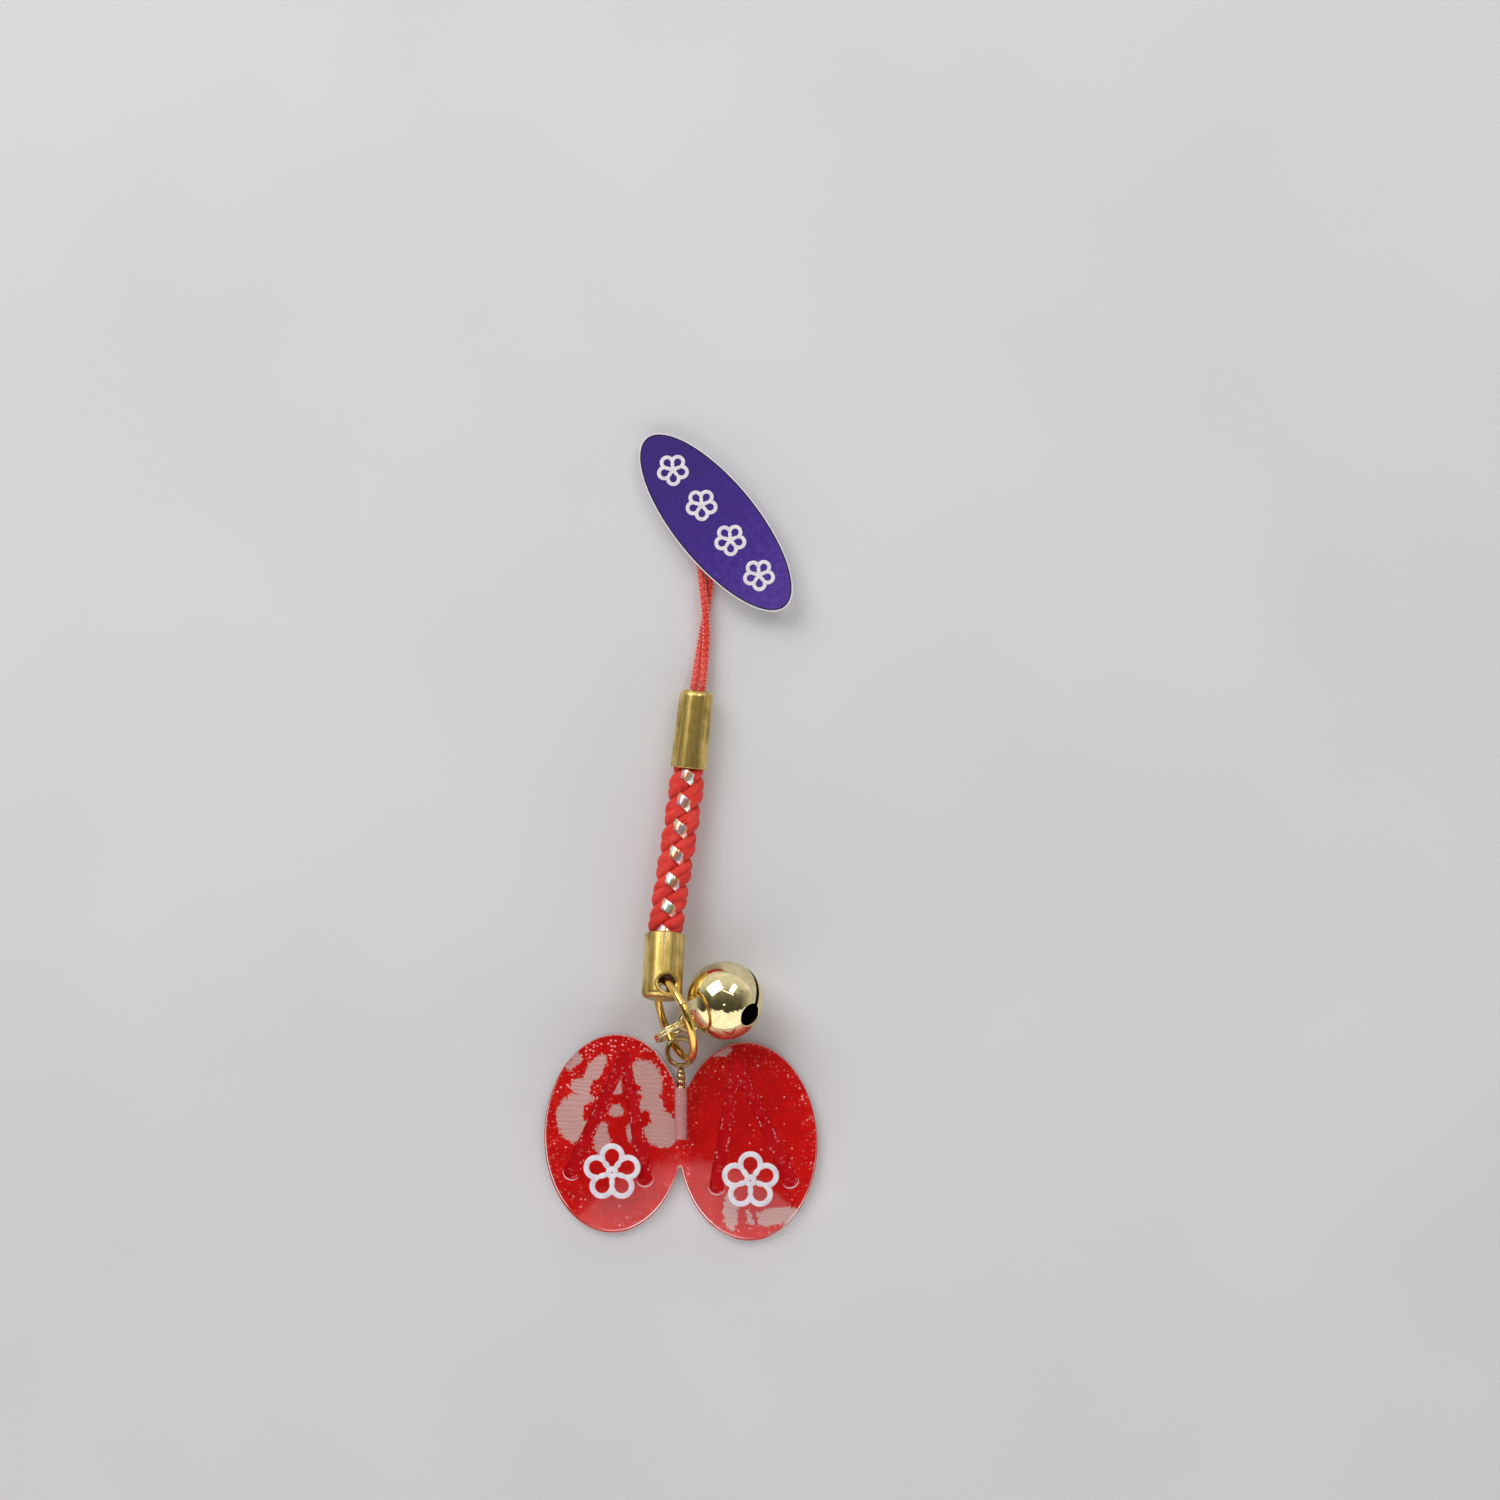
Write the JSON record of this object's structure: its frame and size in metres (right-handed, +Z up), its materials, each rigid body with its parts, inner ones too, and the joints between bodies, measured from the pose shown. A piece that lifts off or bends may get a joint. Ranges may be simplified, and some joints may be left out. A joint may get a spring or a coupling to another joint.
{
  "type": "omamori charm",
  "caption": "Good-luck charm: joined clear sandal soles over patterned crepe cloth and a small round bell on split rings, hung from a braided strap with a cord loop and paper label.",
  "frame": {"origin": "on the table under the middle of the charm's box, measured without the cord loop and the paper label", "axes": "+X across the charm to the right, +Y up along the strap towards the loop, +Z up from the table, out of the soles' front face"},
  "size_m": [0.0296, 0.0876, 0.0101],
  "materials": {
    "brass_cup": "satin",
    "loop_cord": "matte",
    "braid": "matte",
    "label": "satin",
    "ring": "polished",
    "bell_gold": "polished",
    "steel": "dull",
    "screw_eye": "polished",
    "clear_acrylic": "gloss",
    "crepe": "matte"
  },
  "bodies": {
    "strap": {"upper_ferrule": "brass_cup", "loop_knot": "loop_cord", "loop_cord": "loop_cord", "tag_label": "label", "braid_cord": "braid"},
    "cap": {"lower_cap": "brass_cup"},
    "ring": {"main_ring": "ring"},
    "soles": {"screw_eye": "screw_eye", "front_plate": "clear_acrylic", "fabric_sheet": "crepe", "back_plate": "clear_acrylic"},
    "bell_link": {"bell_ring": "bell_gold"},
    "bell": {"bell_crown_half": "bell_gold", "bell_mouth_half": "bell_gold", "bell_loop": "bell_gold"},
    "pellet": {"bell_pellet": "steel"}
  },
  "joints": [
    {"name": "braid_bend", "type": "hinge", "parent": "strap", "child": "cap", "pos_m": [-0.00045, 0.01224, 0.00296], "axis": [0, 0, 1], "range_deg": [-30, 30], "deforming": ["braid_cord"]},
    {"name": "ring_swing", "type": "hinge", "parent": "cap", "child": "ring", "pos_m": [-0.00199, -0.00227, 0.00519], "axis": [0, 0, 1], "range_deg": [-20, 20]},
    {"name": "charm_swing", "type": "hinge", "parent": "ring", "child": "soles", "pos_m": [-0.00023, -0.00945, 0.003], "axis": [0, 0, 1], "range_deg": [-12, 2]},
    {"name": "bell_ring_swing", "type": "hinge", "parent": "ring", "child": "bell_link", "pos_m": [-0.00142, -0.00756, 0.00158], "axis": [0, 0, 1], "range_deg": [-2.5, 3.5]},
    {"name": "bell_twist", "type": "hinge", "parent": "bell_link", "child": "bell", "pos_m": [0.00474, -0.0039, 0.00425], "axis": [0.8092, 0.4901, 0.3242], "range_deg": [-30, 30]},
    {"name": "pellet_roll", "type": "hinge", "parent": "bell", "child": "pellet", "pos_m": [0.00474, -0.0039, 0.00425], "axis": [0.8092, 0.4901, 0.3242], "continuous": true}
  ]
}
